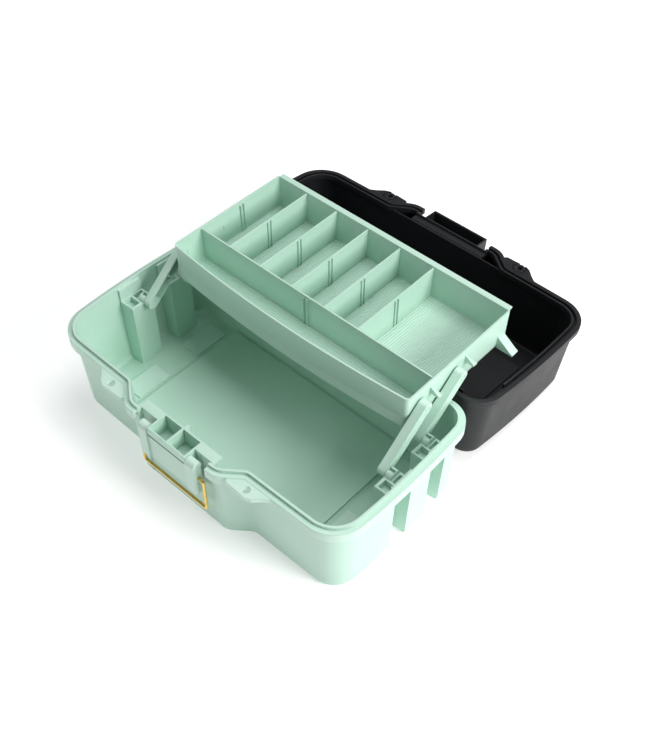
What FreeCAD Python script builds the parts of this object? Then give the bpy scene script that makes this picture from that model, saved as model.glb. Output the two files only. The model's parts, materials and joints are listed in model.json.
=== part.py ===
import FreeCAD, Part
import os, math
from FreeCAD import Vector as V

# One-tray tackle box, open: tub in front of the hinge line, lid laid back
# behind it, tray raised on four parallel arms.  Millimetres, +Z up, -Y is the
# front of the tub, X runs along the box.  Y = 0 is close to the hinge line.

os.makedirs("parts", exist_ok=True)
doc = FreeCAD.newDocument("tackle_box")

# ---------------------------------------------------------------- sizes
CELLS = [
    ("half_len", 181.5), ("side_bow", 4.0), ("front_mid", 188.0), ("front_bow", 2.0),
    ("rear_line", 9.0), ("rear_bow", 0.6), ("rad_front", 30.0), ("rad_rear", 22.0),
    ("bay_half", 67.0), ("bay_step", 16.0), ("bay_concave", 9.0), ("bay_convex", 17.0),
    ("wall", 2.5), ("draft_in", 4.0), ("rim_z", 97.0), ("lid_depth", 80.0), ("lid_tilt", 5.02), ("tongue_rise", 3.0),
    ("flange_out", 5.0), ("skirt_drop", 10.5), ("skirt_wall", 1.8), ("lid_gap", 0.3),
    ("hinge_r", 4.0), ("hinge_pin_r", 1.5), ("hinge_fit", 0.08), ("hinge_mid", 112.0),
    ("arm_len", 65.0), ("arm_angle", 40.0), ("arm_half_w", 5.75), ("arm_x_in", 149.4),
    ("arm_x_out", 158.0), ("stud_r", 3.0), ("stud_fit", 0.1),
    ("pivot_y", -96.1), ("pivot_z", 82.5), ("pivot_pitch", 50.0),
    ("ped_face", 158.5), ("ped_front", 20.0), ("ped_rear", 7.0), ("ped_top", 82.8), ("lug_r", 6.3),
    ("tray_half", 148.3), ("tray_rear", 85.9), ("tray_mid", -26.7), ("tray_front", -62.4),
    ("tray_bow", 7.6), ("tray_top", 140.6), ("tray_low", 102.0), ("tray_wall", 1.8),
    ("tray_floor", 1.8), ("bay_pitch", 41.6), ("first_div", -107.2), ("rear_lip", 4.5),
    ("lever_y", -208.5), ("lever_z", 90.5), ("lever_pin_r", 2.5), ("bail_z", 74.5),
    ("bail_len", 41.0), ("bail_half", 42.0), ("wire_r", 1.6), ("box_half", 24.4),
    ("ear_x", 88.0), ("ear_y", 199.2), ("ear_r", 3.6),
    ("handle_half", 64.0), ("handle_y", 84.0), ("handle_z", 6.2), ("handle_reach", 34.0),
    ("blk_front", 214.55), ("origin_shift", 0.0),
]
P = doc.addObject("Spreadsheet::Sheet", "P")
for i, (k, v) in enumerate(CELLS):
    P.set("A%d" % (i + 1), k)
    P.set("B%d" % (i + 1), str(v))
    P.setAlias("B%d" % (i + 1), k)
doc.recompute()
S = {k: float(P.get(k)) for k, v in CELLS}
RZ = S["rim_z"]

_n = [0]
def uid(tag):
    _n[0] += 1
    return "%s_%03d" % (tag, _n[0])

def bind(o, prop, e):
    if isinstance(e, str):
        o.setExpression(prop, e)
    else:
        cur = o
        parts = prop.split(".")
        if len(parts) == 1:
            setattr(o, prop, e)
        else:
            b = o.Placement.Base
            setattr(b, parts[-1], e)
            pl = o.Placement
            pl.Base = b
            o.Placement = pl

def sub(a, b):
    if isinstance(a, str) or isinstance(b, str):
        return "(%s) - (%s)" % (a, b)
    return a - b

def box(x, y, z, rx=0):
    o = doc.addObject("Part::Box", uid("box"))
    bind(o, "Length", sub(x[1], x[0])); bind(o, "Width", sub(y[1], y[0])); bind(o, "Height", sub(z[1], z[0]))
    bind(o, "Placement.Base.x", x[0]); bind(o, "Placement.Base.y", y[0]); bind(o, "Placement.Base.z", z[0])
    return o

ROT = {"x": FreeCAD.Rotation(V(0, 1, 0), 90), "y": FreeCAD.Rotation(V(1, 0, 0), -90), "z": FreeCAD.Rotation()}
def cyl(axis, r, h, x, y, z):
    o = doc.addObject("Part::Cylinder", uid("cyl"))
    o.Placement = FreeCAD.Placement(V(0, 0, 0), ROT[axis])
    bind(o, "Radius", r); bind(o, "Height", h)
    bind(o, "Placement.Base.x", x); bind(o, "Placement.Base.y", y); bind(o, "Placement.Base.z", z)
    return o

def fuse(objs, tag="fuse"):
    if len(objs) == 1:
        return objs[0]
    o = doc.addObject("Part::MultiFuse", uid(tag))
    o.Shapes = objs
    o.Refine = True
    return o

def cut(a, b, tag="cut"):
    if isinstance(b, list):
        b = fuse(b)
    o = doc.addObject("Part::Cut", uid(tag))
    o.Base = a; o.Tool = b
    o.Refine = True
    return o

def common(a, b):
    o = doc.addObject("Part::MultiCommon", uid("common"))
    o.Shapes = [a, b]
    return o

# ------------------------------------------------- plan outline of the shells
# Four convex bows joined by corner arcs; the front carries a bay that steps
# forward between two S-curves.  d is the inward offset.  All arcs keep their
# centres, so every offset is exact and lofts between offsets stay conical.
def circ_circ(c1, r1, c2, r2, pick):
    dx, dy = c2[0] - c1[0], c2[1] - c1[1]
    dd = math.hypot(dx, dy)
    a = (r1 * r1 - r2 * r2 + dd * dd) / (2 * dd)
    h2 = max(r1 * r1 - a * a, 0.0)
    h = math.sqrt(h2)
    mx, my = c1[0] + a * dx / dd, c1[1] + a * dy / dd
    p = [(mx - h * dy / dd, my + h * dx / dd), (mx + h * dy / dd, my - h * dx / dd)]
    p.sort(key=lambda q: (q[0] - pick[0]) ** 2 + (q[1] - pick[1]) ** 2)
    return p[0]

def plan_arcs(d, bay=True, flip=False):
    hl, sb = S["half_len"], S["side_bow"]
    fm, fb = S["front_mid"], S["front_bow"]
    rl, rb = S["rear_line"], S["rear_bow"]
    hx = hl - sb
    hy = (fm - fb - rl) / 2.0
    cy = -(fm - fb + rl) / 2.0
    Rs = (hy * hy + sb * sb) / (2 * sb)
    Rf = (hx * hx + fb * fb) / (2 * fb)
    Rr = (hx * hx + rb * rb) / (2 * rb)
    cs = (hl - Rs, cy)
    cf = (0.0, -fm + Rf)
    cr = (0.0, -rl - Rr)
    rf, rr = S["rad_front"], S["rad_rear"]
    kf = circ_circ(cs, Rs - rf, cf, Rf - rf, (hl - rf, -fm + rf))
    kr = circ_circ(cs, Rs - rr, cr, Rr - rr, (hl - rr, -rl - rr))
    def on(c, R, k):
        L = math.hypot(k[0] - c[0], k[1] - c[1])
        return (c[0] + (k[0] - c[0]) * R / L, c[1] + (k[1] - c[1]) * R / L)
    E = []   # right half, from front centre round to rear centre, as (centre, radius, p0, p1, ccw)
    if bay:
        bs, rc, rv = S["bay_step"], S["bay_concave"], S["bay_convex"]
        th = math.radians(38.0)          # slant of the S-curve's straight part
        ux, uy = math.cos(th), math.sin(th)        # along the slant, outward and back
        nx, ny = uy, -ux                           # outward normal of the slant
        px, py = S["bay_half"], -(fm + bs / 2.0) + S["bay_half"] ** 2 / (2 * Rf)
        # convex centre: distance rv inside the slant and Rf+bs-rv from cf
        def line_circ(off, R, sgn):
            # points p = (px,py) + off*n + t*u with |p-cf| = R
            qx, qy = px + off * nx - cf[0], py + off * ny - cf[1]
            b = qx * ux + qy * uy
            c = qx * qx + qy * qy - R * R
            disc = math.sqrt(b * b - c)
            ts = [-b - disc, -b + disc]
            t = min(ts, key=abs)
            return (qx + t * ux + cf[0], qy + t * uy + cf[1])
        kv = line_circ(-rv, Rf + bs - rv, 1)
        kc = line_circ(rc, Rf + rc, 1)
        a0 = (cf[0], cf[1] - (Rf + bs - d))
        a1 = on(cf, Rf + bs - d, kv)
        b1 = (kv[0] + nx * (rv - d), kv[1] + ny * (rv - d))
        c0 = (kc[0] - nx * (rc + d), kc[1] - ny * (rc + d))
        c1 = on(cf, Rf - d, kc)
        E.append((cf, Rf + bs - d, a0, a1, True))
        E.append((kv, rv - d, a1, b1, True))
        E.append((None, 0, b1, c0, True))
        E.append((kc, rc + d, c0, c1, False))
        start = c1
    else:
        start = (cf[0], cf[1] - (Rf - d))
    f1 = on(cf, Rf - d, kf)
    s0 = on(cs, Rs - d, kf)
    s1 = on(cs, Rs - d, kr)
    r0 = on(cr, Rr - d, kr)
    r1 = (cr[0], cr[1] + (Rr - d))
    E.append((cf, Rf - d, start, f1, True))
    E.append((kf, rf - d, f1, s0, True))
    E.append((cs, Rs - d, s0, s1, True))
    E.append((kr, rr - d, s1, r0, True))
    E.append((cr, Rr - d, r0, r1, True))
    L = []
    for c, R, p, q, ccw in reversed(E):
        mc = None if c is None else (-c[0], c[1])
        L.append((mc, R, (-q[0], q[1]), (-p[0], p[1]), ccw))
    A = E + L
    if flip:
        A = [(None if c is None else (c[0], -c[1]), R, (q[0], -q[1]), (p[0], -p[1]), ccw) for c, R, p, q, ccw in reversed(A)]
    return A

def geo_of(A):
    G = []
    for c, R, p, q, ccw in A:
        if c is None:
            G.append(Part.LineSegment(V(p[0], p[1], 0), V(q[0], q[1], 0)))
        else:
            a = math.atan2(p[1] - c[1], p[0] - c[0]); b = math.atan2(q[1] - c[1], q[0] - c[0])
            if not ccw:
                a, b = b, a
            if b < a:
                b += 2 * math.pi
            G.append(Part.ArcOfCircle(Part.Circle(V(c[0], c[1], 0), V(0, 0, 1), R), a, b))
    return G

def sketch(geo, z):
    s = doc.addObject("Sketcher::SketchObject", uid("plan"))
    s.addGeometry(geo, False)
    bind(s, "Placement.Base.z", z)
    return s

def loft(secs):
    o = doc.addObject("Part::Loft", uid("loft"))
    o.Sections = secs
    o.Solid = True
    o.Ruled = True
    return o

def shell_loft(levels, bay=True, flip=False):
    return loft([sketch(geo_of(plan_arcs(d, bay, flip)), z) for d, z in levels])

def ring(do, di, z0, z1, bay=True, flip=False):
    return cut(shell_loft([(do, z0), (do, z1)], bay, flip), shell_loft([(di, "(%s) - 1" % z0), (di, "(%s) + 1" % z1)], bay, flip))

def poly_prism(pts, axis, lo, hi):
    """Extrude a closed polygon along an axis; pts are in the other two axes."""
    s = doc.addObject("Sketcher::SketchObject", uid("prof"))
    n = len(pts)
    s.addGeometry([Part.LineSegment(V(pts[i][0], pts[i][1], 0), V(pts[(i + 1) % n][0], pts[(i + 1) % n][1], 0)) for i in range(n)], False)
    if axis == "x":      # sketch u -> Y, v -> Z
        s.Placement = FreeCAD.Placement(V(0, 0, 0), FreeCAD.Rotation(V(1, 1, 1), 120))
        dirv = V(1, 0, 0)
    elif axis == "y":    # sketch u -> X, v -> Z
        s.Placement = FreeCAD.Placement(V(0, 0, 0), FreeCAD.Rotation(V(1, 0, 0), 90))
        dirv = V(0, 1, 0)
    else:
        dirv = V(0, 0, 1)
    o = doc.addObject("Part::Extrusion", uid("prism"))
    o.Base = s
    o.DirMode = "Custom"
    o.Dir = dirv
    o.Solid = True
    bind(o, "LengthFwd", hi)
    bind(o, "LengthRev", sub(0, lo) if isinstance(lo, str) else -lo)
    bind(s, "Placement.Base." + axis, 0.0)
    return o

FINAL = []
def final(o, label):
    o.Label = label
    FINAL.append(o)
    return o

# =============================================================== base tub
w, dr = S["wall"], S["draft_in"]
outer = shell_loft([(dr + 3.2, 0.0), (dr + 1.0, 1.0), (dr - 0.4, 4.0), (0.0, "P.rim_z")])
inner = shell_loft([(dr + w + 2.5, 3.6), (dr + w + 0.6, 4.6), (dr + w - 0.5, 7.0), (w, "P.rim_z + 6")])
flutes, peds = [], []
for sx in (1, -1):
    for k in (0, 1):
        yc = "P.pivot_y + %d * P.pivot_pitch" % k
        ya, yb = "%s - 17.5" % yc, "%s + 4.3" % yc
        pa, pb = "%s - P.ped_front" % yc, "%s + P.ped_rear" % yc
        if sx > 0:
            flutes.append(box(("P.ped_face + 3.5", 205.0), (ya, yb), (-2.0, "P.rim_z - 25")))
            peds.append(box(("P.ped_face", 205.0), (pa, pb), (-1.0, 120.0)))
        else:
            flutes.append(box((-205.0, "-P.ped_face - 3.5"), (ya, yb), (-2.0, "P.rim_z - 25")))
            peds.append(box((-205.0, "-P.ped_face"), (pa, pb), (-1.0, 120.0)))
recess = box((-46.0, 46.0), (-230.0, -199.0), (-2.0, 120.0))
recess_in = box((-48.5, 48.5), (-230.0, -196.5), (-2.0, 120.0))
body = cut(cut(outer, flutes), recess)
cavity = cut(cut(inner, peds), recess_in)
tub = cut(body, cavity)
# rim: flat flange, hanging skirt, upstanding tongue
flange = ring("-5.0" and -S["flange_out"], w - 0.2, "P.rim_z - 2.2", "P.rim_z")
skirt = ring(-S["flange_out"], -S["flange_out"] + S["skirt_wall"], "P.rim_z - P.skirt_drop", "P.rim_z - 1.0")
tongue = ring(0.0, w, "P.rim_z - 3", "P.rim_z + P.tongue_rise")
keep = box((-300.0, 300.0), (-300.0, 0.5), (-5.0, 120.0))
gap = box((-46.0, 46.0), (-230.0, -199.0), (-2.0, 120.0))
rim = cut(fuse([flange, skirt, tongue]), gap)
bits = [tub, rim]
# padlock ears: flat plates at the flange, standing out beside the bay
for sx in (1, -1):
    ear = poly_prism([(sx * 60.0, -196.0), (sx * 69.0, -205.2), (sx * 92.0, -206.2), (sx * 98.0, -203.6), (sx * 105.0, -197.0), (sx * 113.0, -191.0), (sx * 113.0, -182.0), (sx * 60.0, -184.0)], "z", 0.0, 1.0)
    ear.LengthRev = 0.0
    ear.setExpression("LengthFwd", "P.rim_z - 0.2")
    plate = common(ear, box((-200.0, 200.0), (-230.0, -180.0), ("P.rim_z - 4.5", 120.0)))
    bits.append(cut(plate, shell_loft([(1.6, "P.rim_z - 8"), (1.6, "P.rim_z + 2")])))
ear_cav = []
# latch housing in the recess: ledge, two open cells, centre web with a point
led = box((-48.5, 48.5), (-199.2, -189.0), ("P.rim_z - 3", "P.rim_z"))
bits.append(led)
cell_up = box(("-P.box_half", "P.box_half"), (-212.0, -189.0), ("P.rim_z - 8.5", "P.rim_z"))
cell_dn = box(("-P.box_half", "P.box_half"), (-208.4, -189.0), ("P.rim_z - 20.5", "P.rim_z - 8.0"))
cells = []
for x in (("-P.box_half + 1.8", -1.0), (1.0, "P.box_half - 1.8")):
    cells.append(box(x, (-206.8, -191.0), ("P.rim_z - 18.7", 120.0)))
    cells.append(box(x, (-210.4, -206.0), ("P.rim_z - 6.9", 120.0)))
bits += [cell_up, cell_dn]
# rib behind the cells, running back to a point
bits.append(poly_prism([(-190.0, 60.0), (-183.6, 70.0), (-183.6, 96.0), (-190.0, 96.8)], "x", -1.1, 1.1))
# trunnions that carry the latch lever
for sx in (1, -1):
    bits.append(cyl("x", "P.lever_pin_r", 9.0, (24.0 if sx > 0 else -33.0), "P.lever_y", "P.lever_z"))
# hinge knuckles on the rear rim: two outside knuckles at each hinge
HM = S["hinge_mid"]
kn, clr = [], []
for sx in (1, -1):
    for a, b in ((-22.0, -10.3), (10.3, 22.0)):
        x0 = sx * HM + a
        kn.append(cyl("x", "P.hinge_r", b - a, x0, 0.0, "P.rim_z"))
        kn.append(box((x0, x0 + b - a), (-8.4, 0.0), ("P.rim_z - P.hinge_r + 0.6", "P.rim_z - 0.3")))
    clr.append(cyl("x", "P.hinge_r + 0.9", 20.6, sx * HM - 10.3, 0.0, "P.rim_z"))
# pedestal tops: trimmed level, with a round lug standing up at each socket
trim = [box((x0, x1), (-122.0, -34.0), ("P.ped_top", "P.rim_z + 20")) for x0, x1 in ((150.0, 176.0), (-176.0, -150.0))]
bits[0] = cut(bits[0], trim)
for sx in (1, -1):
    for k in (0, 1):
        bits.append(cyl("x", "P.lug_r", 7.0, (158.5 if sx > 0 else -165.5), "P.pivot_y + %d * P.pivot_pitch" % k, "P.pivot_z"))
# floor: raised panel in the middle, low pads near the corners
bits.append(common(box((-118.0, 118.0), (-185.0, -18.0), (3.0, 6.2)), shell_loft([(dr + w - 1.0, 2.0), (dr + w - 1.0, 8.0)])))
for x0, y0 in ((-148.0, -150.0), (124.0, -150.0), (-148.0, -70.0), (124.0, -70.0)):
    bits.append(box((x0, x0 + 24.0), (y0, y0 + 42.0), (3.0, 4.8)))
base = fuse(bits)
cuts = clr + cells
# sockets for the arm studs: bore in the pedestal wall, open slot above it,
# and two pockets behind it
for sx in (1, -1):
    for k in (0, 1):
        yc = "P.pivot_y + %d * P.pivot_pitch" % k
        cuts.append(cyl("x", "P.stud_r + P.stud_fit", 9.0, (156.0 if sx > 0 else -165.0), yc, "P.pivot_z"))
        xs = ((157.0, 164.9) if sx > 0 else (-164.9, -157.0))
        cuts.append(box(xs, ("%s - 2.0" % yc, "%s + 2.0" % yc), ("P.pivot_z", 120.0)))
        xp = ((161.5, 174.6) if sx > 0 else (-174.6, -161.5))
        cuts.append(box(xp, ("%s - 17.8" % yc, "%s - 8.4" % yc), (76.0, 120.0)))
        xp = ((167.2, 174.6) if sx > 0 else (-174.6, -167.2))
        cuts.append(box(xp, ("%s - 6.2" % yc, "%s + 4.8" % yc), (76.0, 120.0)))
# pedestal tops trimmed level
# padlock holes
for sx in (1, -1):
    cuts.append(cyl("z", "P.ear_r", 16.0, sx * S["ear_x"], "-P.ear_y", "P.rim_z - 9"))
# underside: relief between the four feet
cuts.append(box((-112.0, 112.0), (-300.0, 10.0), (-1.0, 1.6)))
cuts.append(box((-300.0, 300.0), (-142.0, -58.0), (-1.0, 1.6)))
base = cut(base, cuts)
base = fuse([base] + kn)
base = cut(base, [cyl("x", "P.hinge_pin_r + P.hinge_fit", 46.0, sx * HM - 23.0, 0.0, "P.rim_z") for sx in (1, -1)])
final(base, "base_tub")

# =============================================================== lid
# drawn with its rim level at z = rim_z - lid_gap, then turned down by lid_tilt
# about the hinge line, so that its far edge rests on the ground
LZ = "P.rim_z - P.lid_gap"
def LB(v):
    return "P.rim_z - P.lid_depth + %s" % v
lo = shell_loft([(dr + 2.8, LB(0.0)), (dr + 1.0, LB(1.2)), (dr - 0.2, LB(4.0)), (-1.0, LZ)], True, True)
li = shell_loft([(dr + w + 1.8, LB(3.0)), (dr + w + 0.4, LB(4.2)), (dr + w - 0.4, LB(7.0)), (1.7, "P.rim_z + 5")], True, True)
lrec = box((-45.0, 45.0), (197.0, 230.0), (-2.0, 120.0))
lrec_in = box((-47.5, 47.5), (194.5, 230.0), (-2.0, 120.0))
lid = cut(cut(lo, lrec), cut(li, lrec_in))
lip = ring(-S["flange_out"], 4.9, "P.rim_z - 6.6", LZ, True, True)
lip = cut(lip, box((-45.0, 45.0), (197.0, 230.0), (-2.0, 120.0)))
lid_bits = [lid, lip]
# the inside wall runs straight on behind the ears and the catch block
w_out = shell_loft([(dr + 0.6, LB(0.6)), (0.4, "P.rim_z - 4.2")], False, True)
w_in = shell_loft([(dr + 2.4, LB(0.0)), (2.2, "P.rim_z - 3")], False, True)
lid_bits.append(common(cut(w_out, w_in), box((-94.0, 94.0), (170.0, 200.0), (LB(1.0), "P.rim_z - 4.2"))))
lid_bits.append(box((-47.5, 47.5), (186.3, 197.0), ("P.rim_z - 6.6", "P.rim_z - 4.2")))
# strip that carries the bead and groove across the back of the latch recess
lid_bits.append(box((-47.5, 47.5), (188.5, 197.0), ("P.rim_z - 6.6", LZ)))
# padlock ears with ringed bosses
for sx in (1, -1):
    e = poly_prism([(sx * 60.0, 196.0), (sx * 69.0, 205.2), (sx * 92.0, 206.2), (sx * 98.0, 203.6), (sx * 105.0, 197.0), (sx * 113.0, 191.0), (sx * 113.0, 182.0), (sx * 60.0, 184.0)], "z", 0.0, 1.0)
    e.LengthRev = 0.0
    e.setExpression("LengthFwd", LZ)
    z_lo = box((-200.0, 200.0), (182.0, 230.0), ("P.rim_z - 6.6", 120.0))
    e2 = cut(common(e, z_lo), shell_loft([(3.6, "P.rim_z - 9"), (3.6, "P.rim_z + 2")], True, True))
    lid_bits.append(cut(e2, cyl("z", 7.6, 5.0, sx * S["ear_x"], "P.ear_y", "P.rim_z - 1.5")))
    lid_bits.append(cyl("z", 6.2, "6.6 - P.lid_gap", sx * S["ear_x"], "P.ear_y", "P.rim_z - 6.6"))
# catch block: hollow, with an upstanding hook along its lower front edge
blk = box((-35.3, 35.3), (196.0, "P.blk_front"), ("P.rim_z - 14.6", LZ))
blk_in = box((-33.5, 33.5), (198.0, 212.2), ("P.rim_z - 12.8", 120.0))
lid_bits.append(cut(blk, blk_in))
lid_bits.append(box((-35.3, 35.3), (211.0, 213.0), ("P.rim_z - 21", "P.rim_z - 14")))
# pocket for the carry handle, pressed in from the top side
pocket_out = box((-82.0, 82.0), (70.5, 131.5), (LB(1.0), LB(15.0)))
lid_bits.append(pocket_out)
# raised panels on the inside
for x0 in (-140.0, 96.0):
    lid_bits.append(box((x0, x0 + 44.0), (46.0, 150.0), (LB(2.0), LB(4.8))))
lidf = fuse(lid_bits)
lc = []
# groove that takes the tongue, not across the recess
lc.append(cut(ring(-0.4, 2.9, "P.rim_z - 3.6", "P.rim_z + 1", True, True), box((-44.0, 44.0), (180.0, 230.0), (-2.0, 120.0))))
lc.append(box((-79.5, 79.5), (73.0, 129.0), (LB(-1.0), LB(12.6))))
for sx in (1, -1):
    lc.append(cyl("z", "P.ear_r", 16.0, sx * S["ear_x"], "P.ear_y", "P.rim_z - 10"))
lc.append(box((-112.0, 112.0), (-10.0, 182.0), (LB(-1.0), LB(0.9))))
lc.append(box((-300.0, 300.0), (58.0, 142.0), (LB(-1.0), LB(0.9))))
for sx in (1, -1):
    for a, b in ((-22.3, -10.0), (10.0, 22.3)):
        lc.append(cyl("x", "P.hinge_r + 0.9", b - a, sx * HM + a, 0.0, "P.rim_z"))
# bead left off near the rear corners, where the tray's rest brackets pass
for sx in (1, -1):
    lc.append(cut(common(shell_loft([(2.9, "P.rim_z - 12"), (2.9, "P.rim_z + 1")], True, True), box(((155.0, 195.0) if sx > 0 else (-195.0, -155.0)), (12.0, 46.0), ("P.rim_z - 12", 120.0))),
                  shell_loft([(8.0, "P.rim_z - 13"), (8.0, "P.rim_z + 2")], True, True)))
# clearance over the tub's latch ledge
lc.append(box((-49.5, 49.5), (187.5, 196.0), ("P.rim_z - 3.4", 120.0)))
lidf = cut(lidf, lc)
lk = []
for sx in (1, -1):
    lk.append(cyl("x", "P.hinge_r", 19.4, sx * HM - 9.7, 0.0, "P.rim_z"))
    lk.append(box((sx * HM - 9.7, sx * HM + 9.7), (0.0, 8.4), ("P.rim_z - P.hinge_r + 0.6", "P.rim_z - 0.3")))
# handle bearings in the pocket
for sx in (1, -1):
    x0 = 70.3 if sx > 0 else -80.0
    lk.append(box((x0, x0 + 9.7), ("P.handle_y - 5", "P.handle_y + 5"), (LB(2.0), LB(13.0))))
lidf = fuse([lidf] + lk)
lidf = cut(lidf, [cyl("x", "P.hinge_pin_r + P.hinge_fit", 46.0, sx * HM - 23.0, 0.0, "P.rim_z") for sx in (1, -1)]
           + [cyl("x", "P.stud_r + 0.06", 8.0, (70.0 if sx > 0 else -78.0), "P.handle_y", LB("P.handle_z")) for sx in (1, -1)])
def laid_back(o):
    # turn about the hinge line, X through Y = 0, Z = rim_z
    rot = FreeCAD.Rotation(V(1, 0, 0), -S["lid_tilt"])
    c = V(0, 0, S["rim_z"])
    o.Placement = FreeCAD.Placement(c - rot.multVec(c), rot)
    return o
final(laid_back(lidf), "lid_shell")

# =============================================================== tray
def tray_outline(d, z, front_extra=0.0, r=5.0):
    hx = S["tray_half"] - d
    yr = S["tray_rear"] - d
    yf = S["tray_front"] + d - front_extra
    bow = S["tray_bow"]
    r = max(r - d, 1.0)
    rr = max(3.0 - d, 0.8)
    R = (S["tray_half"] ** 2 + bow * bow) / (2 * bow)
    cy = yf - bow + R
    # front corner arc: centre inside, distance R - r from the bow's centre
    kx = hx - r
    ky = cy - math.sqrt((R - r) ** 2 - kx * kx)
    L = math.hypot(kx, ky - cy)
    t = (kx * R / L, cy + (ky - cy) * R / L)
    G = [Part.ArcOfCircle(Part.Circle(V(0, cy, 0), V(0, 0, 1), R), math.atan2(t[1] - cy, -t[0]), math.atan2(t[1] - cy, t[0])),
         Part.ArcOfCircle(Part.Circle(V(kx, ky, 0), V(0, 0, 1), r), math.atan2(t[1] - ky, t[0] - kx), 0.0),
         Part.LineSegment(V(hx, ky, 0), V(hx, yr - rr, 0)),
         Part.ArcOfCircle(Part.Circle(V(hx - rr, yr - rr, 0), V(0, 0, 1), rr), 0.0, math.pi / 2),
         Part.LineSegment(V(hx - rr, yr, 0), V(-hx + rr, yr, 0)),
         Part.ArcOfCircle(Part.Circle(V(-hx + rr, yr - rr, 0), V(0, 0, 1), rr), math.pi / 2, math.pi),
         Part.LineSegment(V(-hx, yr - rr, 0), V(-hx, ky, 0)),
         Part.ArcOfCircle(Part.Circle(V(-kx, ky, 0), V(0, 0, 1), r), math.pi, math.atan2(t[1] - ky, -(t[0] - kx)) + 2 * math.pi)]
    return sketch(G, z)

tw = S["tray_wall"]
t_out = loft([tray_outline(2.6, "P.tray_low", -1.0), tray_outline(1.4, "P.tray_low + 1.2", 1.6), tray_outline(0.6, "P.tray_low + 4.5", 3.1), tray_outline(0.6, "P.tray_low + 13", 0.4), tray_outline(0.0, "P.tray_top", 0.0)])
t_in = loft([tray_outline(tw + 3.4, "P.tray_low + P.tray_floor", -1.0), tray_outline(tw + 2.2, "P.tray_low + P.tray_floor + 1.0", -1.0), tray_outline(tw, "P.tray_top + 1", 0.0)])
tray = cut(t_out, t_in)
tb = [tray]
tb.append(box(("-P.tray_half + 0.6", "P.tray_half - 0.6"), ("P.tray_mid - 0.9", "P.tray_mid + 0.9"), ("P.tray_low + 1", "P.tray_top - 0.6")))
for k in range(5):
    xc = "P.first_div + %d * P.bay_pitch" % k
    tb.append(box(("%s - 0.8" % xc, "%s + 0.8" % xc), ("P.tray_mid - 0.5", "P.tray_rear - 0.9"), ("P.tray_low + 1", "P.tray_top - 1.6")))
# guide ribs for loose partitions
RY = 28.0
for k in range(-1, 5):
    for off in (-2.2, 2.2):
        if k < 0:
            x0, x1 = "-P.tray_half + 1.0", "-P.tray_half + 4.4"
        else:
            x0, x1 = "P.first_div + %d * P.bay_pitch" % k, "P.first_div + %d * P.bay_pitch + 2.2" % k
        tb.append(box((x0, x1), (RY + off - 0.6, RY + off + 0.6), ("P.tray_low + 1", "P.tray_top - 3")))
for off in (-2.2, 2.2):
    tb.append(box((-4.0 + off - 0.6, -4.0 + off + 0.6), ("P.tray_mid - 2.4", "P.tray_mid"), ("P.tray_low + 1", "P.tray_top - 3")))
# rear flange lip
tb.append(box(("-P.tray_half + 2", "P.tray_half - 2"), ("P.tray_rear - 1.5", "P.tray_rear + P.rear_lip"), ("P.tray_top - 1.8", "P.tray_top")))
# pivot studs, stop tabs and rest brackets on both ends
UY = S["pivot_y"] + S["arm_len"] * math.cos(math.radians(S["arm_angle"]))
UZ = S["pivot_z"] + S["arm_len"] * math.sin(math.radians(S["arm_angle"]))
uy = "P.pivot_y + P.arm_len * cos(P.arm_angle * 1deg)"
uz = "P.pivot_z + P.arm_len * sin(P.arm_angle * 1deg)"
for sx in (1, -1):
    for k in (0, 1):
        yk = "%s + %d * P.pivot_pitch" % (uy, k)
        tb.append(cyl("x", "P.stud_r", 10.2, (145.0 if sx > 0 else -155.2), yk, uz))
        y0 = UY + k * S["pivot_pitch"] + 16.0
        z0 = UZ + 2.2
        # stop tab: small gusset that stands out past the arm's edge
        pts = [(sx * 147.6, z0 - 1.5), (sx * 157.4, z0 - 1.5), (sx * 157.4, z0 + 0.3), (sx * 147.6, z0 + 6.5)]
        tb.append(poly_prism(pts, "y", y0 - 1.2, y0 + 1.2))
        tb.append(box(((147.6, 157.8) if sx > 0 else (-157.8, -147.6)), (y0 - 1.2, y0 + 4.2), (z0 - 1.5, z0 - 0.1)))
    # rest bracket at the rear bottom
    pts = [(sx * 147.0, 102.1), (sx * 166.0, 102.1), (sx * 166.0, 103.9), (sx * 163.0, 105.4), (sx * 147.6, 116.5), (sx * 147.0, 116.5)]
    tb.append(cut(poly_prism(pts, "y", 70.6, 79.8), poly_prism([(sx * 146.0, 101.0), (sx * 161.0, 101.0), (sx * 161.0, 104.2), (sx * 148.9, 113.0), (sx * 146.0, 113.0)], "y", 72.4, 78.0)))
    tb.append(box(((145.5, 148.0) if sx > 0 else (-148.0, -145.5)), (70.6, 79.8), (103.0, 116.5)))
final(fuse(tb), "tray")

# =============================================================== arms
def pd_sketch(bd, name, role):
    s = bd.newObject("Sketcher::SketchObject", name)
    pl = [f for f in bd.Origin.OriginFeatures if f.Role == role][0]
    s.AttachmentSupport = [(pl, "")]
    s.MapMode = "FlatFace"
    return s

def slot_geo(L, r):
    return [Part.ArcOfCircle(Part.Circle(V(0, 0, 0), V(0, 0, 1), r), math.pi / 2, 3 * math.pi / 2),
            Part.LineSegment(V(0, -r, 0), V(L, -r, 0)),
            Part.ArcOfCircle(Part.Circle(V(L, 0, 0), V(0, 0, 1), r), -math.pi / 2, math.pi / 2),
            Part.LineSegment(V(L, r, 0), V(0, r, 0))]

import Sketcher
def slot_sketch(bd, name, e_len, e_r, L, r, off):
    s = pd_sketch(bd, name, "XY_Plane")
    s.setExpression("AttachmentOffset.Base.z", off)
    s.addGeometry(slot_geo(L, r), False)
    C = Sketcher.Constraint
    s.addConstraint([C("Tangent", 0, 2, 1, 1), C("Tangent", 1, 2, 2, 1), C("Tangent", 2, 2, 3, 1), C("Tangent", 3, 2, 0, 1),
                     C("Coincident", 0, 3, -1, 1), C("Horizontal", 1), C("Radius", 0, r), C("DistanceX", 0, 3, 2, 3, L)])
    s.setExpression("Constraints[6]", e_r)
    s.setExpression("Constraints[7]", e_len)
    return s

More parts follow.
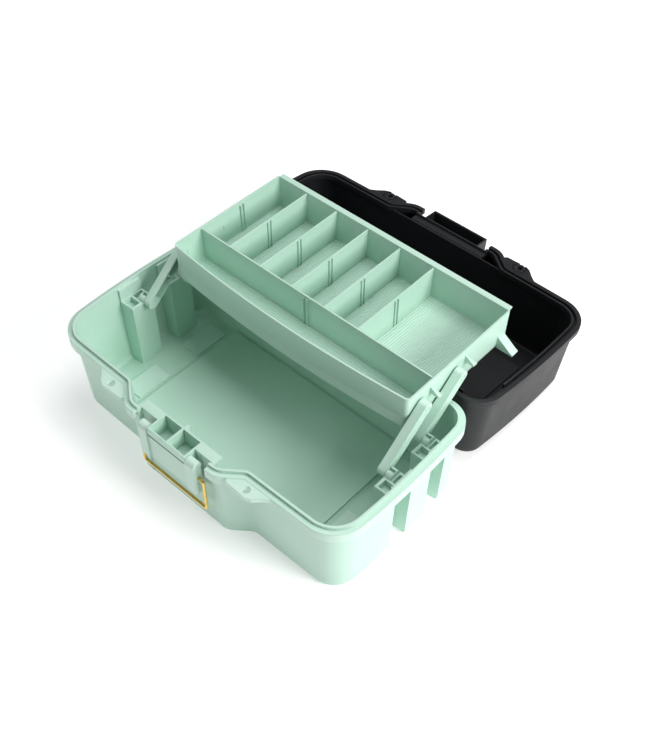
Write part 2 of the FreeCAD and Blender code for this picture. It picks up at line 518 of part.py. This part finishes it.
def circle_sketch(bd, name, x, r, e_x, e_r, off):
    s = pd_sketch(bd, name, "XY_Plane")
    s.setExpression("AttachmentOffset.Base.z", off)
    s.addGeometry(Part.Circle(V(x, 0, 0), V(0, 0, 1), r), False)
    C = Sketcher.Constraint
    s.addConstraint(C("Radius", 0, r))
    s.setExpression("Constraints[0]", e_r)
    if x == 0:
        s.addConstraint(C("Coincident", 0, 3, -1, 1))
    else:
        s.addConstraint(C("PointOnObject", 0, 3, -1))
        s.addConstraint(C("DistanceX", -1, 1, 0, 3, x))
        s.setExpression("Constraints[2]", e_x)
    return s

def pad(bd, s, e_len, rev=False):
    p = bd.newObject("PartDesign::Pad", s.Name + "_pad")
    p.Profile = s
    p.setExpression("Length", e_len)
    p.Reversed = rev
    s.Visibility = False
    doc.recompute()
    return p

def pocket(bd, s, e_len, rev=False):
    v0 = bd.Shape.Volume
    p = bd.newObject("PartDesign::Pocket", s.Name + "_cut")
    p.Profile = s
    p.setExpression("Length", e_len)
    p.Reversed = rev
    s.Visibility = False
    doc.recompute()
    if not bd.Shape.Volume < v0 - 0.5:
        raise RuntimeError("pocket removed nothing: %s %.1f %.1f %s %s" % (s.Name, v0, bd.Shape.Volume, p.State, s.State))
    return p

# The arm is drawn flat: local X along it from its lower pivot, local Z from its
# inner face (0) to its outer face.
def make_arm(label, side, k):
    bd = doc.addObject("PartDesign::Body", label + "_body")
    L, r = S["arm_len"], S["arm_half_w"]
    pad(bd, slot_sketch(bd, label + "_out", "P.arm_len", "P.arm_half_w", L, r, "0"), "P.arm_x_out - P.arm_x_in")
    # hollow from the inner face, leaving web, flanges, end bosses and one cross rib
    for i, (a, b) in enumerate(((8.2, L / 2 - 0.9), (L / 2 + 0.9, L - 8.2))):
        s = pd_sketch(bd, "%s_h%d" % (label, i), "XY_Plane")
        hw = r - 1.7
        s.addGeometry([Part.LineSegment(V(a, -hw, 0), V(b, -hw, 0)), Part.LineSegment(V(b, -hw, 0), V(b, hw, 0)),
                       Part.LineSegment(V(b, hw, 0), V(a, hw, 0)), Part.LineSegment(V(a, hw, 0), V(a, -hw, 0))], False)
        C = Sketcher.Constraint
        s.addConstraint([C("Coincident", 0, 2, 1, 1), C("Coincident", 1, 2, 2, 1), C("Coincident", 2, 2, 3, 1), C("Coincident", 3, 2, 0, 1),
                         C("Horizontal", 0), C("Horizontal", 2), C("Vertical", 3),
                         C("DistanceX", -1, 1, 0, 1, a), C("DistanceX", -1, 1, 1, 1, b), C("DistanceY", 1, 1, 1, 2, 2 * hw), C("Symmetric", 1, 1, 1, 2, -1)])
        s.setExpression("Constraints[9]", "2 * P.arm_half_w - 3.4")
        pocket(bd, s, "P.arm_x_out - P.arm_x_in - 1.9", True)
    # blind hole at the upper end for the tray's stud
    pocket(bd, circle_sketch(bd, label + "_b", L, S["stud_r"] + S["stud_fit"], "P.arm_len", "P.stud_r + P.stud_fit", "0"), "6.6", True)
    # stud at the lower end, standing out of the outer face
    pad(bd, circle_sketch(bd, label + "_s", 0, S["stud_r"], "0", "P.stud_r", "P.arm_x_out - P.arm_x_in - 0.5"), "7.2")
    pad(bd, circle_sketch(bd, label + "_c", 0, 4.6, "0", "4.6", "P.arm_x_out - P.arm_x_in - 0.5"), "0.75")
    bd.Label = label
    # place: local X -> along the arm in the YZ plane, local Z -> outward in X
    a = math.radians(S["arm_angle"])
    ex = V(0, math.cos(a), math.sin(a))
    ez = V(1, 0, 0) if side > 0 else V(-1, 0, 0)
    ey = ez.cross(ex)
    m = FreeCAD.Matrix(ex.x, ey.x, ez.x, side * S["arm_x_in"], ex.y, ey.y, ez.y, S["pivot_y"] + k * S["pivot_pitch"],
                       ex.z, ey.z, ez.z, S["pivot_z"], 0, 0, 0, 1)
    bd.Placement = FreeCAD.Placement(m)
    FINAL.append(bd)

make_arm("arm_front_right", 1, 0)
make_arm("arm_rear_right", 1, 1)
make_arm("arm_front_left", -1, 0)
make_arm("arm_rear_left", -1, 1)

# =============================================================== latch
def rail(x0, x1):
    a = box((x0, x1), ("P.lever_y - 5.2", "P.lever_y + 4.2"), (54.0, "P.lever_z"))
    b = cyl("x", 5.2, sub(x1, x0), x0, "P.lever_y", "P.lever_z")
    return [a, b]
lev = rail(25.0, 36.2) + rail(-36.2, -25.0)
lev.append(box((-26.0, 26.0), ("P.lever_y - 3.5", "P.lever_y - 1.0"), (54.0, 86.0)))
lev.append(box((-26.0, 26.0), ("P.lever_y - 3.5", "P.lever_y + 2.0"), (54.0, 57.0)))
lever = fuse(lev)
lever = cut(lever, [cyl("x", "P.lever_pin_r + 0.08", 80.0, -40.0, "P.lever_y", "P.lever_z"),
                    cyl("x", "P.wire_r + 0.08", 80.0, -40.0, "P.lever_y", "P.bail_z")])
# close the trunnion holes from outside with thin cheeks
lever = fuse([lever, box((33.4, 36.2), ("P.lever_y - 3.4", "P.lever_y + 3.4"), ("P.lever_z - 3.4", "P.lever_z + 3.4")),
              box((-36.2, -33.4), ("P.lever_y - 3.4", "P.lever_y + 3.4"), ("P.lever_z - 3.4", "P.lever_z + 3.4"))])
final(lever, "latch_lever")

# wire bail: bent from one length of round wire, ends turned in through the rails
bh, bl, wr = S["bail_half"], S["bail_len"], S["wire_r"]
br = 2.5
pts = [V(27.5, 0, 0), V(bh - br, 0, 0), V(bh, 0, -br), V(bh, 0, -bl + br), V(bh - br, 0, -bl),
       V(-bh + br, 0, -bl), V(-bh, 0, -bl + br), V(-bh, 0, -br), V(-bh + br, 0, 0), V(-27.5, 0, 0)]
def arc(c, p, q):
    m = (p + q) * 0.5 - c
    m.normalize()
    return Part.Arc(p, c + m * br, q).toShape()
ed = [Part.LineSegment(pts[0], pts[1]).toShape(), arc(V(bh - br, 0, -br), pts[1], pts[2]),
      Part.LineSegment(pts[2], pts[3]).toShape(), arc(V(bh - br, 0, -bl + br), pts[3], pts[4]),
      Part.LineSegment(pts[4], pts[5]).toShape(), arc(V(-bh + br, 0, -bl + br), pts[5], pts[6]),
      Part.LineSegment(pts[6], pts[7]).toShape(), arc(V(-bh + br, 0, -br), pts[7], pts[8]),
      Part.LineSegment(pts[8], pts[9]).toShape()]
path = Part.Wire(ed)
prof = Part.Wire([Part.Circle(pts[0], V(1, 0, 0), wr).toShape()])
bail_shape = path.makePipeShell([prof], True, False, 2)
bail = doc.addObject("Part::Feature", "bail_wire")
bail.Shape = bail_shape
bail.Placement = FreeCAD.Placement(V(0, S["lever_y"], S["bail_z"]), FreeCAD.Rotation())
final(bail, "latch_bail")

# =============================================================== hinge pins
for sx, nm in ((1, "hinge_pin_right"), (-1, "hinge_pin_left")):
    final(cyl("x", "P.hinge_pin_r", 44.0, "%d * P.hinge_mid - 22" % sx, 0.0, "P.rim_z"), nm)

# =============================================================== carry handle
hb = []
hy, hz = "P.handle_y", LB("P.handle_z")
g0 = "P.handle_y + P.handle_reach"
for sx in (1, -1):
    x0 = 61.5 if sx > 0 else -69.7
    hb.append(box((x0, x0 + 8.2), (hy, g0), (LB("P.handle_z - 4.2"), LB("P.handle_z + 4.2"))))
    hb.append(cyl("x", 4.2, 8.2, x0, hy, hz))
    hb.append(cyl("x", "P.stud_r", 13.0, (64.0 if sx > 0 else -77.0), hy, hz))
grip = box((-69.7, 69.7), ("%s - 5" % g0, "%s + 7" % g0), (LB("P.handle_z - 4.2"), LB("P.handle_z + 4.2")))
hb.append(grip)
hs = fuse(hb)
final(laid_back(hs), "carry_handle")

# ------------------------------------------------------------ check and write
doc.recompute()
bad = [o.Name for o in doc.Objects if "Invalid" in o.State or "Error" in o.State]
if bad:
    raise RuntimeError("failed features: " + ", ".join(bad))
lo_y, hi_y = 1e9, -1e9
for o in FINAL:
    sh = o.Shape
    if sh.isNull() or not sh.isValid():
        raise RuntimeError("bad shape: " + o.Label)
    bb = sh.BoundBox
    lo_y, hi_y = min(lo_y, bb.YMin), max(hi_y, bb.YMax)
    print("%-18s solids %d vol %9.1f  X %7.2f %7.2f  Y %7.2f %7.2f  Z %7.2f %7.2f" % (o.Label, len(sh.Solids), sh.Volume, bb.XMin, bb.XMax, bb.YMin, bb.YMax, bb.ZMin, bb.ZMax))
print("Y centre before shift: %.4f" % ((lo_y + hi_y) / 2))
for o in FINAL:
    pl = o.Placement
    pl.Base = pl.Base + V(0, S["origin_shift"], 0)
    if o.TypeId in ("PartDesign::Body", "Part::Feature") or not o.ExpressionEngine:
        o.Placement = pl
    else:
        o.setExpression("Placement.Base.y", "P.origin_shift")
doc.recompute()
for o in FINAL:
    o.Shape.exportStep("parts/%s.step" % o.Label)
print("wrote %d parts" % len(FINAL))
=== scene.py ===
import bpy, bmesh, math, json
from mathutils import Vector, Matrix, noise


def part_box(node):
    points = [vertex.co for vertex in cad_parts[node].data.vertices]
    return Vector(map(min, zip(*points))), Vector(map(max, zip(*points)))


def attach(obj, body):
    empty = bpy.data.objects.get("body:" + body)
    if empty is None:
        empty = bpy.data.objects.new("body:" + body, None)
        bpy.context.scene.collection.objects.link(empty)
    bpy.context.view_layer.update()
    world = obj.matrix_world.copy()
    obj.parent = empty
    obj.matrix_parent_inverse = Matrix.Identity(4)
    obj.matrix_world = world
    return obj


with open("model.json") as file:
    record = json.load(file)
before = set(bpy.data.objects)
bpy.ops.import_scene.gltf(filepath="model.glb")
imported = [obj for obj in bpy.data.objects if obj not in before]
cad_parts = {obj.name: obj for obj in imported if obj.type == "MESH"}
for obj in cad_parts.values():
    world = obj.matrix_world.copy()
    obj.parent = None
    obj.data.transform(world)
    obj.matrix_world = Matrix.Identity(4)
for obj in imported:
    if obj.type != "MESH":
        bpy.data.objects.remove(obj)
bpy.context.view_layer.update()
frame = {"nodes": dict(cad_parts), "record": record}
N = frame["nodes"]

# ------------------------------------------------------------------ camera
F_PX = 1030.9
cam_pos = Vector((0.4755, -0.5249, 0.8092))
az, el = math.radians(132.46), math.radians(48.475)
fwd = Vector((math.cos(az) * math.cos(el), math.sin(az) * math.cos(el), -math.sin(el)))
cd = bpy.data.cameras.new("camera")
cam = bpy.data.objects.new("camera", cd)
bpy.context.scene.collection.objects.link(cam)
cam.location = cam_pos
cam.rotation_mode = "QUATERNION"
cam.rotation_quaternion = fwd.to_track_quat("-Z", "Y")
cd.sensor_fit = "AUTO"
cd.sensor_width = 36.0
cd.lens = F_PX * 36.0 / 750.0
cd.clip_start = 0.02
cd.clip_end = 20.0
bpy.context.scene.camera = cam

# ------------------------------------------------------------------ lights
def area(name, loc, target, size, energy, color=(1, 1, 1), size_y=None):
    ld = bpy.data.lights.new(name, "AREA")
    ld.shape = "RECTANGLE" if size_y else "SQUARE"
    ld.size = size
    if size_y:
        ld.size_y = size_y
    ld.energy = energy
    ld.color = color
    o = bpy.data.objects.new(name, ld)
    bpy.context.scene.collection.objects.link(o)
    o.location = loc
    o.rotation_mode = "QUATERNION"
    o.rotation_quaternion = (Vector(target) - Vector(loc)).to_track_quat("-Z", "Y")
    return o

area("key_right", (1.75, 0.30, 1.05), (0, 0, 0.05), 0.9, 35, (1.0, 0.995, 0.985))
area("top_soft", (0.1, 0.45, 1.9), (0, 0, 0.0), 1.2, 18, (1, 1, 1))
area("left_soft", (-1.6, -0.7, 1.0), (0, 0, 0.05), 1.0, 7, (0.98, 1.0, 1.0))

world = bpy.data.worlds.new("studio")
bpy.context.scene.world = world
world.use_nodes = True
bg = world.node_tree.nodes["Background"]
bg.inputs["Color"].default_value = (1.0, 1.0, 1.0, 1.0)
bg.inputs["Strength"].default_value = 0.20
vs = bpy.context.scene.view_settings
vs.view_transform = "Standard"
vs.look = "None"
vs.exposure = 0.0
vs.gamma = 1.0

# ------------------------------------------------------------------ node helpers
def new_mat(name):
    m = bpy.data.materials.new(name)
    m.use_nodes = True
    nt = m.node_tree
    nt.nodes.clear()
    return m, nt

def nd(nt, kind, x=0, y=0, **kw):
    n = nt.nodes.new(kind)
    n.location = (x, y)
    for k, v in kw.items():
        if k in n.inputs:
            n.inputs[k].default_value = v
        else:
            setattr(n, k, v)
    return n

def moulded(name, base, shade, edge_highlight, rough, grain_scale, grain_bump, sss=0.0, spec=0.5, rough_var=0.08, edge_r=0.0008):
    """Moulded polypropylene: faint flow mottling, satin roughness that varies, fine grain, convex edges painted
    slightly lighter as a painted highlight.
    """
    m, nt = new_mat(name)
    L = nt.links.new
    out = nd(nt, "ShaderNodeOutputMaterial", 1000, 0)
    bs = nd(nt, "ShaderNodeBsdfPrincipled", 700, 0)
    L(bs.outputs[0], out.inputs[0])
    tc = nd(nt, "ShaderNodeTexCoord", -1200, 0)
    # flow marks: long soft variation
    n1 = nd(nt, "ShaderNodeTexNoise", -900, 200)
    n1.inputs["Scale"].default_value = 9.0
    n1.inputs["Detail"].default_value = 3.0
    n1.inputs["Distortion"].default_value = 0.6
    L(tc.outputs["Object"], n1.inputs["Vector"])
    r1 = nd(nt, "ShaderNodeMapRange", -700, 200)
    r1.inputs["From Min"].default_value = 0.35
    r1.inputs["From Max"].default_value = 0.65
    L(n1.outputs["Fac"], r1.inputs["Value"])
    mx = nd(nt, "ShaderNodeMix", -450, 200, data_type="RGBA")
    mx.inputs[6].default_value = (*shade, 1)
    mx.inputs[7].default_value = (*base, 1)
    L(r1.outputs["Result"], mx.inputs[0])
    # edges: painted highlight, curvature lightens them a little
    geo = nd(nt, "ShaderNodeNewGeometry", -900, -60)
    highlight_mask = nd(nt, "ShaderNodeMapRange", -700, -60)
    highlight_mask.inputs["From Min"].default_value = 0.52
    highlight_mask.inputs["From Max"].default_value = 0.66
    highlight_mask.inputs["To Max"].default_value = 0.55
    L(geo.outputs["Pointiness"], highlight_mask.inputs["Value"])
    highlight_mix = nd(nt, "ShaderNodeMix", -200, 150, data_type="RGBA")
    highlight_mix.inputs[7].default_value = (*edge_highlight, 1)
    L(highlight_mask.outputs["Result"], highlight_mix.inputs[0])
    L(mx.outputs[2], highlight_mix.inputs[6])
    L(highlight_mix.outputs[2], bs.inputs["Base Color"])
    # roughness variation
    n2 = nd(nt, "ShaderNodeTexNoise", -900, -300)
    n2.inputs["Scale"].default_value = 45.0
    n2.inputs["Detail"].default_value = 4.0
    L(tc.outputs["Object"], n2.inputs["Vector"])
    r2 = nd(nt, "ShaderNodeMapRange", -700, -300)
    r2.inputs["To Min"].default_value = rough - rough_var
    r2.inputs["To Max"].default_value = rough + rough_var
    L(n2.outputs["Fac"], r2.inputs["Value"])
    L(r2.outputs["Result"], bs.inputs["Roughness"])
    # fine moulded grain
    n3 = nd(nt, "ShaderNodeTexNoise", -900, -560)
    n3.inputs["Scale"].default_value = grain_scale
    n3.inputs["Detail"].default_value = 2.0
    L(tc.outputs["Object"], n3.inputs["Vector"])
    b = nd(nt, "ShaderNodeBump", 300, -400)
    b.inputs["Strength"].default_value = grain_bump
    b.inputs["Distance"].default_value = 0.0004
    L(n3.outputs["Fac"], b.inputs["Height"])
    # moulded edges are never sharp: a small edge radius in the shading
    bv = nd(nt, "ShaderNodeBevel", 50, -560)
    bv.samples = 4
    bv.inputs["Radius"].default_value = edge_r
    L(bv.outputs["Normal"], b.inputs["Normal"])
    L(b.outputs["Normal"], bs.inputs["Normal"])
    bs.inputs["Specular IOR Level"].default_value = spec
    if sss > 0:
        bs.inputs["Subsurface Weight"].default_value = sss
        bs.inputs["Subsurface Radius"].default_value = (0.6, 1.0, 0.75)
        bs.inputs["Subsurface Scale"].default_value = 0.004
    return m

# the third colour given to moulded is a painted edge highlight, lighter than the base on convex edges
MINT = moulded("mint_plastic", (0.515, 0.725, 0.620), (0.485, 0.705, 0.590), (0.68, 0.84, 0.77), 0.42, 2600.0, 0.10, sss=0.0)
# the ribs use the tray's mint painted slightly lighter: painted light on the ribbed floor
RIBBED = moulded("mint_ribbed", (0.535, 0.745, 0.640), (0.505, 0.725, 0.610), (0.68, 0.84, 0.77), 0.40, 2600.0, 0.05, edge_r=0.00006)
CHAR = moulded("charcoal_plastic", (0.0095, 0.0102, 0.0118), (0.0072, 0.0078, 0.0094), (0.030, 0.031, 0.035), 0.48, 1500.0, 0.30, spec=0.36)

def wire_mat(name, base, dark, rough):
    m, nt = new_mat(name)
    L = nt.links.new
    out = nd(nt, "ShaderNodeOutputMaterial", 900, 0)
    bs = nd(nt, "ShaderNodeBsdfPrincipled", 600, 0)
    L(bs.outputs[0], out.inputs[0])
    bs.inputs["Metallic"].default_value = 1.0
    tc = nd(nt, "ShaderNodeTexCoord", -900, 0)
    n1 = nd(nt, "ShaderNodeTexNoise", -600, 100)
    n1.inputs["Scale"].default_value = 160.0
    n1.inputs["Detail"].default_value = 5.0
    L(tc.outputs["Object"], n1.inputs["Vector"])
    mx = nd(nt, "ShaderNodeMix", -200, 100, data_type="RGBA")
    mx.inputs[6].default_value = (*base, 1)
    mx.inputs[7].default_value = (*dark, 1)
    L(n1.outputs["Fac"], mx.inputs[0])
    L(mx.outputs[2], bs.inputs["Base Color"])
    r = nd(nt, "ShaderNodeMapRange", -200, -150)
    r.inputs["To Min"].default_value = rough - 0.06
    r.inputs["To Max"].default_value = rough + 0.1
    L(n1.outputs["Fac"], r.inputs["Value"])
    L(r.outputs["Result"], bs.inputs["Roughness"])
    mp = nd(nt, "ShaderNodeMapping", -700, -400)
    mp.inputs["Scale"].default_value = (1.0, 14.0, 1.0)
    L(tc.outputs["Object"], mp.inputs["Vector"])
    n2 = nd(nt, "ShaderNodeTexNoise", -450, -400)
    n2.inputs["Scale"].default_value = 700.0
    L(mp.outputs["Vector"], n2.inputs["Vector"])
    b = nd(nt, "ShaderNodeBump", 200, -300)
    b.inputs["Strength"].default_value = 0.08
    b.inputs["Distance"].default_value = 0.0002
    L(n2.outputs["Fac"], b.inputs["Height"])
    L(b.outputs["Normal"], bs.inputs["Normal"])
    return m

BRASS = wire_mat("brass_wire", (0.83, 0.60, 0.20), (0.66, 0.44, 0.12), 0.22)
STEEL = wire_mat("steel_pin", (0.62, 0.62, 0.64), (0.45, 0.45, 0.47), 0.3)
MAT = {"mint_plastic": MINT, "charcoal_plastic": CHAR, "brass_wire": BRASS, "steel_pin": STEEL}
for sp in frame["record"]["subparts"]:
    o = N[sp["node"]]
    o.data.materials.clear()
    o.data.materials.append(MAT[sp["material_slot"]])

# ------------------------------------------------------------------ mesh helpers
def new_piece(name, body, bm, mat, smooth=False):
    me = bpy.data.meshes.new(name)
    bm.normal_update()
    bm.to_mesh(me)
    bm.free()
    if smooth:
        for p in me.polygons:
            p.use_smooth = True
    o = bpy.data.objects.new(name, me)
    bpy.context.scene.collection.objects.link(o)
    me.materials.append(mat)
    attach(o, body)
    return o

def ridge(bm, axis, lo, hi, c, z0, w, h):
    """One low moulded ridge with chamfered flanks and ends: a six-sided frustum, closed."""
    a, b = w / 2.0, w / 2.0 - h * 0.55
    e = h * 0.9
    rings = []
    for z, hw, end in ((z0 - 0.0004, a, 0.0), (z0 + h * 0.45, a, 0.0), (z0 + h, b, e)):
        pts = [(lo + end, c - hw), (hi - end, c - hw), (hi - end, c + hw), (lo + end, c + hw)]
        if axis == "y":
            pts = [(v, u) for u, v in reversed(pts)]
        rings.append([bm.verts.new((u, v, z)) for u, v in pts])
    bm.faces.new(list(reversed(rings[0])))
    bm.faces.new(rings[-1])
    for r0, r1 in zip(rings, rings[1:]):
        for i in range(4):
            j = (i + 1) % 4
            bm.faces.new((r0[i], r0[j], r1[j], r1[i]))

# ------------------------------------------------------------------ tray floor ribbing
TLO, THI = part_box("tray")
FZ = TLO[2] + 0.0018          # top of the tray's floor
bm = bmesh.new()
first, pitch = -0.1072, 0.0416
edges_x = [-0.1448] + [first + k * pitch for k in range(5)] + [0.1448]
for i in range(6):
    x0 = edges_x[i] + (0.0024 if i else 0.0014)
    x1 = edges_x[i + 1] - (0.0024 if i < 5 else 0.0014)
    n = int((x1 - x0) / 0.0027)
    st = (x1 - x0) / n
    for k in range(n + 1):
        ridge(bm, "y", -0.0236, 0.0812, x0 + k * st, FZ, 0.00120, 0.00060)
y0, y1 = -0.0562, -0.0300
n = int((y1 - y0) / 0.0027)
for k in range(n + 1):
    yy = y0 + k * (y1 - y0) / n
    half = 0.1405 - 0.0000
    ridge(bm, "x", -half + 0.004 * (1 - k / n), half - 0.004 * (1 - k / n), yy, FZ, 0.00120, 0.00060)
new_piece("tray_floor_ribs", "tray", bm, RIBBED)

# ------------------------------------------------------------------ rings round the arms' pivots
def lathe(bm, centre, axis_sign, prof, seg=28):
    """Closed body of revolution about X: prof is (radius, depth) round a closed loop."""
    rings = []
    for k in range(seg):
        t = 2 * math.pi * k / seg
        rings.append([bm.verts.new((centre[0] + axis_sign * d, centre[1] + r * math.cos(t), centre[2] + r * math.sin(t))) for r, d in prof])
    m = len(prof)
    for k in range(seg):
        a, b = rings[k], rings[(k + 1) % seg]
        for i in range(m):
            j = (i + 1) % m
            f = (a[i], a[j], b[j], b[i])
            bm.faces.new(f if axis_sign < 0 else tuple(reversed(f)))

JN = {j["name"]: j for j in frame["record"]["behaviour"]["joints"]}
for side, sx in (("right", 1), ("left", -1)):
    for row in ("front", "rear"):
        node = "arm_%s_%s" % (row, side)
        lo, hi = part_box(node)
        jp = JN[node + "_pivot"]["pos_m"]
        # the upper pivot lies at the arm's far end: same inset from the box as the lower one has
        inset_y, inset_z = jp[1] - lo[1], jp[2] - lo[2]
        top = (hi[1] - inset_y, hi[2] - inset_z)
        # outer face of the arm where the ring sits
        ax = sx * max(v.co.x * sx for v in N[node].data.vertices if math.hypot(v.co.y - top[0], v.co.z - top[1]) < 0.0070)
        bm = bmesh.new()
        prof = [(0.0019, -0.0006), (0.0031, -0.0006), (0.0031, 0.0003), (0.0027, 0.0006), (0.0022, 0.0006), (0.0019, 0.0003)]
        lathe(bm, (ax, top[0], top[1]), sx, prof)
        bmesh.ops.recalc_face_normals(bm, faces=bm.faces)
        new_piece(node + "_ring", node, bm, MINT)

# ------------------------------------------------------------------ floor
def floor_mat():
    m, nt = new_mat("studio_floor")
    L = nt.links.new
    out = nd(nt, "ShaderNodeOutputMaterial", 600, 0)
    bs = nd(nt, "ShaderNodeBsdfPrincipled", 300, 0)
    L(bs.outputs[0], out.inputs[0])
    tc = nd(nt, "ShaderNodeTexCoord", -600, 0)
    n1 = nd(nt, "ShaderNodeTexNoise", -400, 0)
    n1.inputs["Scale"].default_value = 3.0
    L(tc.outputs["Object"], n1.inputs["Vector"])
    mx = nd(nt, "ShaderNodeMix", -100, 0, data_type="RGBA")
    mx.inputs[6].default_value = (0.93, 0.93, 0.93, 1)
    mx.inputs[7].default_value = (0.95, 0.95, 0.95, 1)
    L(n1.outputs["Fac"], mx.inputs[0])
    L(mx.outputs[2], bs.inputs["Base Color"])
    bs.inputs["Roughness"].default_value = 0.9
    bs.inputs["Specular IOR Level"].default_value = 0.1
    bs.inputs["Emission Color"].default_value = (1.0, 1.0, 1.0, 1.0)
    bs.inputs["Emission Strength"].default_value = 0.34
    return m

me = bpy.data.meshes.new("floor")
bm = bmesh.new()
bmesh.ops.create_grid(bm, x_segments=4, y_segments=4, size=6.0)
bm.to_mesh(me)
bm.free()
floor = bpy.data.objects.new("floor", me)
bpy.context.scene.collection.objects.link(floor)
floor.location = (0, 0, -0.0002)
me.materials.append(floor_mat())
